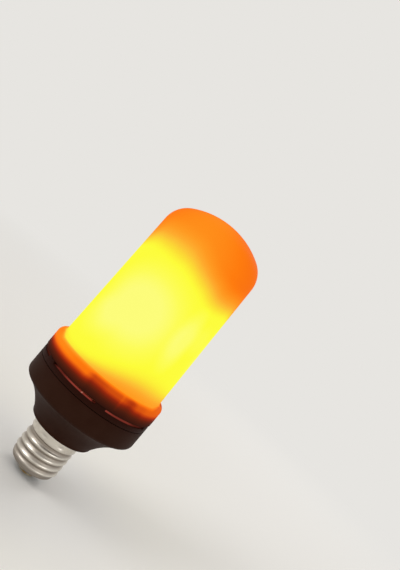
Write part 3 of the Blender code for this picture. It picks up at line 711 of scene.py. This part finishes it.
def buildRing():
    c = Values(**ring)
    line = [(c.inner, c.slotFloor), (c.tabInner, c.slotFloor), (c.tabOuter, c.slotFloor),
            (c.outer, c.slotFloor), (c.outer, c.bottom), (c.spigot, c.bottom),
            (c.spigot, c.ledgeBottom), (c.ledge, c.ledgeBottom), (c.ledge, c.ledgeTop),
            (c.inner, c.ledgeTop), (c.inner, c.slotFloor)]
    shape = drawProfile("ventRing", line)
    spinProfile(c.turns)

    def onBridge(a):
        # bridges stand between the slots; a slot faces the front
        gap = (a + 90) % (360 / c.slots)
        return abs(gap - 180 / c.slots) < (360 / c.slots - c.slotAngle) / 2

    pick(shape, "faces", lambda r, z, a: abs(z - c.slotFloor) < near and onBridge(a))
    extrude(0, 0, c.top - c.slotFloor)
    # the tabs rise from the bridges, behind the cover's skirt
    pick(shape, "faces", lambda r, z, a: abs(z - c.top) < near and c.tabInner < r < c.tabOuter)
    extrude(0, 0, c.tabTop - c.top)
    roundEdges(shape, c.edge)
    joinPieces(shape, screwBosses())
    finishPiece(shape, mouldedAbs("mouldedAbs", False), "vent_ring")

    # the slots' floors take the lit finish, and their ends on the right, as seen from outside
    shape.data.materials.append(mouldedAbs("mouldedAbsLit", True))
    for face in shape.data.polygons:
        spot = face.center / mm
        low = -c.litMargin < spot.z - c.slotFloor < c.litHeight
        within = spot.xy.length < c.outer - c.litMargin
        turned = math.degrees(math.atan2(spot.y, spot.x)) - c.endShift
        if low and within and not onBridge(turned):
            face.material_index = 1


buildRing()


housing = {    # mm and degrees
    "outer": 32.3, "top": 52.77, "bandBottom": 43.92, "shoulder": 2.2, "shoulderTurn": 60,
    "flareHollow": 1.35, "lipRadius": 17.8, "lipTop": 28.62, "lipRound": 1.6, "bottom": 27.02,
    "collar": 12.5, "crimpHeight": 23.72, "crimpHalf": 1.2, "crimpDepth": 0.35, "step": 22.12,
    "spigot": 11.5, "spigotTop": 20.72, "spigotBottom": 8.3, "bore": 9.65, "wall": 2.0,
    # across, deep, from, up to, and how far back
    "groove": (21.1, 2.2, 10.3, 32.62, 0.0), "notch": (2.2, 3.7, 2.3, 14.3, -10.6),
    "turns": 144, "edge": 0.2,
}


def buildHousing():
    c = Values(**housing)
    centre = (c.outer - c.shoulder, c.bandBottom)
    lip = (c.lipRadius, c.lipTop)
    shoulder = arcPoints(centre, c.shoulder, 0, -c.shoulderTurn, 8)
    flare = hollowLine(shoulder[-1], lip, c.flareHollow, 20)

    def facing(first, last):
        along = (Vector(last) - Vector(first)).normalized()
        return Vector((-along.y, along.x))

    innerTop = Vector((centre[0], c.bandBottom - c.shoulder)) - facing(flare[0], flare[1]) * c.wall
    innerLow = Vector(lip) - facing(flare[-2], flare[-1]) * c.wall
    line = [(c.outer, c.top)] + shoulder + flare[1:-1]
    line += arcPoints((c.lipRadius - c.lipRound, c.lipTop), c.lipRound, 0, -90, 6)
    line += [(c.collar, c.bottom), (c.collar, c.crimpHeight + c.crimpHalf),
             (c.collar - c.crimpDepth, c.crimpHeight), (c.collar, c.crimpHeight - c.crimpHalf),
             (c.collar, c.step), (c.spigot, c.spigotTop), (c.spigot, c.spigotBottom),
             (c.bore, c.spigotBottom), (c.bore, innerLow.y)]
    line += hollowLine(innerTop, innerLow, c.flareHollow, 12)[::-1]
    line += [(c.outer - c.wall, innerTop.y), (c.outer - c.wall, c.top), line[0]]
    shell = drawProfile("bulbHousing", line)
    spinProfile(c.turns)

    # the driver board's grooves and the neutral wire's notch are cut with two boxes
    for width, depth, low, high, back in (c.groove, c.notch):
        box = addBox((width, depth, high - low), (0, back, (low + high) / 2))
        applyModifier(shell, "BOOLEAN", object=box, operation="DIFFERENCE", solver="EXACT")
        bpy.data.objects.remove(box)
    roundEdges(shell, c.edge)
    finishPiece(shell, mouldedAbs("mouldedAbsHousing", False), "housing")


buildHousing()


# screw cap: rolled nickel-plated sheet with a knuckle thread

cap = {    # mm and degrees
    "crest": 13.1, "root": 12.1, "top": 26.72, "collarRows": 12, "rowHeight": 0.4, "neckRows": 6,
    "threadTop": 20.72, "threadBottom": 6.2, "pitch": 3.63, "foot": 9.8, "footBottom": 4.2,
    "sheet": 0.3, "rowsEachTurn": 22, "turns": 128,
    "dents": 8, "dentHeight": 23.72, "dentHalf": 1.2, "dentDepth": 0.35, "dentWidth": 11.25,
}


def nickelPlatedSteel():
    # steel sheet drawn, rolled and bright nickel plated: warm white metal with faint drawing lines
    # round it, duller in the thread's roots, rubbed bright on its crests
    material, tree, shader = newMaterial("nickelPlatedSteel", {"Metallic": 1.0, "Roughness": 0.26})
    place = placeInMm(tree)
    radius = splitPlace(tree, place)[3]
    crest = addNode(tree, "MapRange", [radius, cap["root"] + 0.05, cap["crest"] - 0.08])
    stretched = addNode(tree, "Mapping", {"Vector": place, "Scale": (0.12, 0.12, 5.0)})
    lines = addNode(tree, "TexNoise", {"Vector": stretched, "Scale": 1.0, "Detail": 3.0, "Roughness": 0.6})
    cloud = addNode(tree, "TexNoise", {"Vector": place, "Scale": 1 / 5, "Detail": 3.0})
    base = addNode(tree, "Mix", {0: crest, 6: "#9C938A", 7: "#D6D0C6"}, **colourMix)
    dull = addNode(tree, "MapRange", [cloud, 0.4, 0.7, 0.0, 0.35])
    rough = addNode(tree, "MapRange", {0: crest, 3: 0.42, 4: 0.22})
    feed(tree, shader, {
        "Base Color": addNode(tree, "Mix", {0: dull, 6: base, 7: "#A89D8F"}, **colourMix),
        "Roughness": addNode(tree, "Math", [lines, 0.16, rough], operation="MULTIPLY_ADD"),
        "Normal": addNode(tree, "Bump", {"Height": lines, "Strength": 0.25, "Distance": 0.02 * mm})})
    return material


def capLine():
    # collar, neck, the thread's roots and the curled foot, from the top down
    c = Values(**cap)
    span = c.threadTop - c.threadBottom
    rows = round(span / c.pitch * c.rowsEachTurn)
    line = [(c.crest, c.top - i * c.rowHeight) for i in range(c.collarRows + 1)]
    neckTop = line[-1][1]
    for i in range(1, c.neckRows + 1):
        share = 0.5 - 0.5 * math.cos(math.pi * i / c.neckRows)
        line.append((c.crest + (c.root - c.crest) * share,
                     neckTop + (c.threadTop - neckTop) * i / c.neckRows))
    line += [(c.root, c.threadTop - span * i / rows) for i in range(1, rows + 1)]
    for r, z in arcPoints((0, 0), 1, 0, -90, 8)[1:]:
        line.append((c.foot + r * (c.root - c.foot),
                     c.threadBottom + z * (c.threadBottom - c.footBottom)))
    return line


def buildCap():
    c = Values(**cap)
    shell = drawProfile("screwCap", capLine())
    spinProfile(c.turns)
    bpy.ops.object.mode_set(mode="OBJECT")

    # the thread and the dents that grip the spigot are pressed in by moving the points
    for point in shell.data.vertices:
        z = point.co.z / mm
        angle = math.atan2(point.co.y, point.co.x)
        push = 0.0
        if c.threadBottom < z < c.threadTop:
            # the thread runs out over half a pitch at both ends
            runOut = c.pitch / 2
            rise = min(1, (z - c.threadBottom) / runOut, (c.threadTop - z) / runOut)
            wave = 0.5 - 0.5 * math.cos(math.tau * (z - c.threadBottom) / c.pitch - angle)
            push = (c.crest - c.root) * wave * rise
        around = (math.degrees(angle) + 180 / c.dents) % (360 / c.dents) - 180 / c.dents
        away = math.hypot(around / c.dentWidth, (z - c.dentHeight) / c.dentHalf)
        if away < 1:
            push = -c.dentDepth * (0.5 + 0.5 * math.cos(math.pi * away))
        outward = Vector((math.cos(angle), math.sin(angle), 0))
        point.co += outward * push * mm
    applyModifier(shell, "SOLIDIFY", thickness=c.sheet * mm, offset=-1)
    finishPiece(shell, nickelPlatedSteel(), "screw_cap", smooth=45)


buildCap()


# insulator and centre contact

foot = {    # radius and height of each point, mm
    "insulator": [(11.5, 6.8), (11.5, 5.5), (9.5, 4.9), (9.5, 4.2), (5.2, 1.4), (1.9, 1.4), (1.9, 6.8)],
    "contact": [(0, 6.3), (1.6, 6.3), (1.6, 1.1), (4.35, 1.1), (4.55, 1.0), (4.6, 0.8), (4.52, 0.6),
                (4.2, 0.42), (3.6, 0.24), (2.9, 0.1), (2.2, 0.02), (1.5, 0.0), (1.15, 0.02), (0.9, 0.12),
                (0.5, 0.2), (0, 0.22)],
    "turns": 72, "edge": 0.25,
}


def blackGlass():
    # vitrite, the black glass that is melted into the foot of a screw cap: glossy, with faint flow swirls
    return cloudyMaterial("blackGlass", {"IOR": 1.52, "Roughness": 0.12, "Coat Weight": 0.3}, 3, 2.0, [
        (0.3, "#0B0A0C"), (0.75, "#1B181C")], rough=(0.06, 0.22), relief=(0.3, 0.1), swirl=1.2)


def tinnedBrass():
    # pressed brass with a thin coat of solder tin: dull silver, worn through to the brass in patches
    return cloudyMaterial("tinnedBrass", {"Metallic": 1.0}, 1.6, 4.0, [
        (0.35, "#B9AF9C"), (0.55, "#A99A7C"), (0.75, "#B98F4C")], rough=(0.45, 0.25), relief=(0.3, 0.05))


def buildFoot():
    disc = drawProfile("capInsulator", foot["insulator"] + foot["insulator"][:1])
    spinProfile(foot["turns"])
    roundEdges(disc, foot["edge"], segments=3, sharper=25)
    finishPiece(disc, blackGlass(), "cap_insulator")
    button = drawProfile("centreContact", foot["contact"])
    spinProfile(foot["turns"])
    finishPiece(button, tinnedBrass(), "centre_contact")


buildFoot()


# inner parts keep their CAD shape and get their finishes

inside = {
    # a darker and a paler colour for each finish that is clouded or speckled
    "nylon": ("#D9D6CC", "#EBE9E1"), "ledMask": ("#E2DED2", "#EFECE2"), "sleeve": ("#14284F", "#1D3566"),
    "blackEpoxy": ("#131315", "#232326"), "dippedEpoxy": ("#6E2216", "#8A3120"),
    "redPvc": ("#A81F18", "#BE2C22"), "bluePvc": ("#1C3F94", "#2850AB"),
    # the copper's darker and paler colours are painted shade in the grooves between turns and painted
    # highlight on their crests
    "shadedCopper": ("#5A2A14", "#B4683A"), "ferrite": ("#2A2B2E", "#3C3D41"),
    "zinc": ("#9DA0A3", "#C9CBCE"), "nickel": ("#B3ABA0", "#C9CBCE"),
    "board": "#1C5C34", "tracks": "#2F8048",
    "phosphor": "#E8C34A", "ledLight": "#FFB45A", "ledStrength": 0.3,
    "stripe": "#B9C4D6", "stripeAngle": 1.2, "stripeHalf": (0.36, 0.32),    # radians
    "can": "#C4C6C9", "canRadius": 3.3,
    "drumWaist": 3.1, "drumRim": 1.1, "wireStep": 0.3,    # mm
    "coating": "#6A2A1E", "bandWide": 0.08,
    "bands": [(0.24, "#1D1A18"), (0.46, "#C89B2C"), (0.68, "#D8D2C4")],    # share of the way up, colour
}


def whiteNylon():
    # white glass-filled nylon, moulded: chalky, with a fine grain
    return cloudyMaterial("whiteNylon", {"IOR": 1.53, "Roughness": 0.55}, 0.7, 3.0,
                          zip((0.3, 0.7), inside["nylon"]), relief=(0.3, 0.03))


def solderMask():
    # green solder mask on glass-fibre board: copper tracks show as paler bands under the lacquer
    board, tracks = inside["board"], inside["tracks"]
    material, tree, shader = newMaterial("greenSolderMask", {
        "IOR": 1.5, "Roughness": 0.3, "Coat Weight": 0.4})
    place = placeInMm(tree)
    bands = addNode(tree, "TexBrick", {"Vector": place, "Scale": 0.35, "Mortar Size": 0.12,
                                       "Color1": board, "Color2": board, "Mortar": tracks})
    weave = addNode(tree, "TexNoise", {"Vector": place, "Scale": 1 / 0.8, "Detail": 2.0})
    shade = addNode(tree, "MapRange", {0: weave, 3: 0.85, 4: 1.1})
    tinted = addNode(tree, "Mix", {0: 1.0, 6: bands, 7: shade}, **colourMix, blend_type="MULTIPLY")
    feed(tree, shader, {
        "Base Color": tinted,
        "Normal": addNode(tree, "Bump", {"Height": weave, "Strength": 0.2, "Distance": 0.03 * mm})})
    return material


ledBoard = {    # mm
    "columns": 12, "rows": 8, "bottom": 55.27, "top": 129.37, "face": 16.25, "proud": 0.6,
    "topCount": 8, "topCircle": 9.5, "topFace": 131.0, "topProud": 0.5,
    "phosphor": (1.15, 1.05),    # radii between which the phosphor ends
}


def ledMask(name, aroundCore):
    # white solder mask with LED packages: a white frame round a yellow phosphor, which is alight
    c = Values(**ledBoard)
    material, tree, shader = newMaterial(name, {"IOR": 1.5, "Roughness": 0.45,
                                                "Emission Color": inside["ledLight"]})
    place = placeInMm(tree)
    x, y, z, radius = splitPlace(tree, place)
    angle = addNode(tree, "Math", [y, x], operation="ARCTAN2")
    if aroundCore:
        cell = math.tau / c.columns
        row = (c.top - c.bottom) / c.rows
        along = addNode(tree, "Math", [z, c.bottom], operation="SUBTRACT")
        along = addNode(tree, "Math", [along, row, 0.0], operation="WRAP")
        along = addNode(tree, "Math", [along, row / 2], operation="SUBTRACT")
        across = addNode(tree, "Math", [angle, cell, 0.0], operation="WRAP")
        across = addNode(tree, "Math", [across, cell / 2], operation="SUBTRACT")
        across = addNode(tree, "Math", [across, c.face], operation="MULTIPLY")
        raised = addNode(tree, "Math", [radius, c.face + c.proud], operation="GREATER_THAN")
    else:
        cell = math.tau / c.topCount
        along = addNode(tree, "Math", [radius, c.topCircle], operation="SUBTRACT")
        across = addNode(tree, "Math", [angle, cell / 2, -cell / 2], operation="WRAP")
        across = addNode(tree, "Math", [across, c.topCircle], operation="MULTIPLY")
        raised = addNode(tree, "Math", [z, c.topFace + c.topProud], operation="GREATER_THAN")
    within = addNode(tree, "MapRange", [distance(tree, across, along), *c.phosphor])
    phosphor = addNode(tree, "Math", [within, raised], operation="MULTIPLY")
    grain = addNode(tree, "TexNoise", {"Vector": place, "Scale": 1 / 0.9, "Detail": 2.0})
    mask = addNode(tree, "ValToRGB", [grain], stops=zip((0.3, 0.7), inside["ledMask"]))
    colour = addNode(tree, "Mix", {0: phosphor, 6: mask, 7: inside["phosphor"]}, **colourMix)
    lit = addNode(tree, "Math", [phosphor, inside["ledStrength"]], operation="MULTIPLY")
    feed(tree, shader, {"Base Color": colour, "Emission Strength": lit})
    return material


def zincPlatedSteel(name, colours):
    # zinc or nickel plated steel: a pale grey metal with soft cloudy patches
    return cloudyMaterial(name, {"Metallic": 1.0, "Roughness": 0.35}, 0.8, 3.0, zip((0.3, 0.7), colours),
                          rough=(0.28, 0.42))


def mouldedResin(name, colours, roughness=0.4):
    # component bodies and wire insulation, moulded or dipped in filled resin: an even colour with a
    # speckle of filler
    return cloudyMaterial(name, {"IOR": 1.55, "Roughness": roughness}, 0.35, 3.0,
                          zip((0.35, 0.7), colours), relief=(0.25, 0.03))


def shrinkSleeve():
    # an aluminium can in a blue shrink sleeve, with a pale stripe down one side and a bare top
    low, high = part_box("electrolytic_capacitor")
    middle = ((low.x + high.x) / 2 / mm, (low.y + high.y) / 2 / mm, 0)
    material, tree, shader = newMaterial("shrinkSleeve", {"IOR": 1.5, "Roughness": 0.3})
    place = placeInMm(tree, middle=middle)
    x, y, z, radius = splitPlace(tree, place)
    angle = addNode(tree, "Math", [y, x], operation="ARCTAN2")
    away = addNode(tree, "Math", [angle, inside["stripeAngle"]], operation="SUBTRACT")
    away = addNode(tree, "Math", [away], operation="ABSOLUTE")
    stripe = addNode(tree, "MapRange", [away, *inside["stripeHalf"]])
    cloud = addNode(tree, "TexNoise", {"Vector": place, "Scale": 1 / 2, "Detail": 2.0})
    blue = addNode(tree, "ValToRGB", [cloud], stops=zip((0.3, 0.7), inside["sleeve"]))
    colour = addNode(tree, "Mix", {0: stripe, 6: blue, 7: inside["stripe"]}, **colourMix)
    inner = addNode(tree, "Math", [radius, inside["canRadius"]], operation="LESS_THAN")
    above = addNode(tree, "Math", [z, high.z / mm - 0.1], operation="GREATER_THAN")
    bare = addNode(tree, "Math", [inner, above], operation="MULTIPLY")
    colour = addNode(tree, "Mix", {0: bare, 6: colour, 7: inside["can"]}, **colourMix)
    feed(tree, shader, {"Base Color": colour, "Metallic": bare})
    return material


def ferriteAndCopper():
    # a pressed ferrite drum with enamelled copper wire wound on its waist, wire 0.3 mm apart; across each
    # turn the copper is painted dark in the grooves and pale on the crest, painted shade and highlight
    low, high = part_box("inductor")
    middle = ((low.x + high.x) / 2 / mm, 0, (low.z + high.z) / 2 / mm)
    material, tree, shader = newMaterial("ferriteAndCopper", {"IOR": 1.6, "Roughness": 0.5})
    place = placeInMm(tree, middle=middle)
    x, y, z = addNode(tree, "SeparateXYZ", [place]).node.outputs
    waist = addNode(tree, "Math", [distance(tree, x, z), inside["drumWaist"]], operation="LESS_THAN")
    halfWound = (high.y - low.y) / 2 / mm - inside["drumRim"]
    off = addNode(tree, "Math", [y, (low.y + high.y) / 2 / mm, halfWound], operation="COMPARE")
    wound = addNode(tree, "Math", [waist, off], operation="MULTIPLY")
    turns = addNode(tree, "Math", [y, math.tau / inside["wireStep"]], operation="MULTIPLY")
    turns = addNode(tree, "Math", [turns], operation="SINE")
    turns = addNode(tree, "MapRange", [turns, -1.0])
    shadedCopper = addNode(tree, "ValToRGB", [turns], stops=zip((0.0, 0.8), inside["shadedCopper"]))
    speckle = addNode(tree, "TexNoise", {"Vector": place, "Scale": 1 / 0.4, "Detail": 3.0})
    ferrite = addNode(tree, "ValToRGB", [speckle], stops=zip((0.3, 0.7), inside["ferrite"]))
    feed(tree, shader, {"Base Color": addNode(tree, "Mix", {0: wound, 6: ferrite, 7: shadedCopper}, **colourMix)})
    return material


def bandedResistor():
    # a fusible resistor in red-brown cement coating, with three colour bands
    low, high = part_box("fusible_resistor")
    material, tree, shader = newMaterial("cementCoating", {"IOR": 1.5, "Roughness": 0.42})
    place = placeInMm(tree)
    z = addNode(tree, "SeparateXYZ", [place], give="Z")
    up = addNode(tree, "MapRange", [z, low.z / mm, high.z / mm])
    stops = [(0.0, inside["coating"])]
    for spot, colour in inside["bands"]:
        stops += [(spot, colour), (spot + inside["bandWide"], inside["coating"])]
    colour = addNode(tree, "ValToRGB", [up], stops=stops)
    colour.node.color_ramp.interpolation = "CONSTANT"
    cloud = addNode(tree, "TexNoise", {"Vector": place, "Scale": 1 / 0.6, "Detail": 3.0})
    shade = addNode(tree, "MapRange", {0: cloud, 3: 0.85, 4: 1.1})
    tinted = addNode(tree, "Mix", {0: 1.0, 6: colour, 7: shade}, **colourMix, blend_type="MULTIPLY")
    feed(tree, shader, {"Base Color": tinted})
    return material


def dressInside():
    green = solderMask()
    black = mouldedResin("blackMouldedEpoxy", inside["blackEpoxy"], 0.5)
    zinc = zincPlatedSteel("zincPlatedSteel", inside["zinc"])
    finishes = {
        "control_board": green, "driver_board": green,
        "core_former": whiteNylon(),
        "flex_led_board": ledMask("flexLedMask", True), "top_led_board": ledMask("topLedMask", False),
        "base_screw_1": zinc, "base_screw_2": zinc, "base_screw_3": zinc, "top_screw": zinc,
        "electrolytic_capacitor": shrinkSleeve(), "inductor": ferriteAndCopper(),
        "film_capacitor": mouldedResin("dippedEpoxy", inside["dippedEpoxy"], 0.25),
        "fusible_resistor": bandedResistor(),
        "bridge_rectifier": black, "driver_chip": black, "controller_chip": black,
        "tilt_sensor": zincPlatedSteel("nickelCan", inside["nickel"]),
        "live_wire": mouldedResin("redPvc", inside["redPvc"]),
        "led_wire_positive": mouldedResin("redPvcPair", inside["redPvc"]),
        "neutral_wire": mouldedResin("bluePvc", inside["bluePvc"]),
        "led_wire_negative": mouldedResin("bluePvcPair", inside["bluePvc"]),
    }
    for name, material in finishes.items():
        for slot in nodes[name].material_slots:
            slot.material = material
    print("inside:", len(finishes), "nodes dressed")


dressInside()
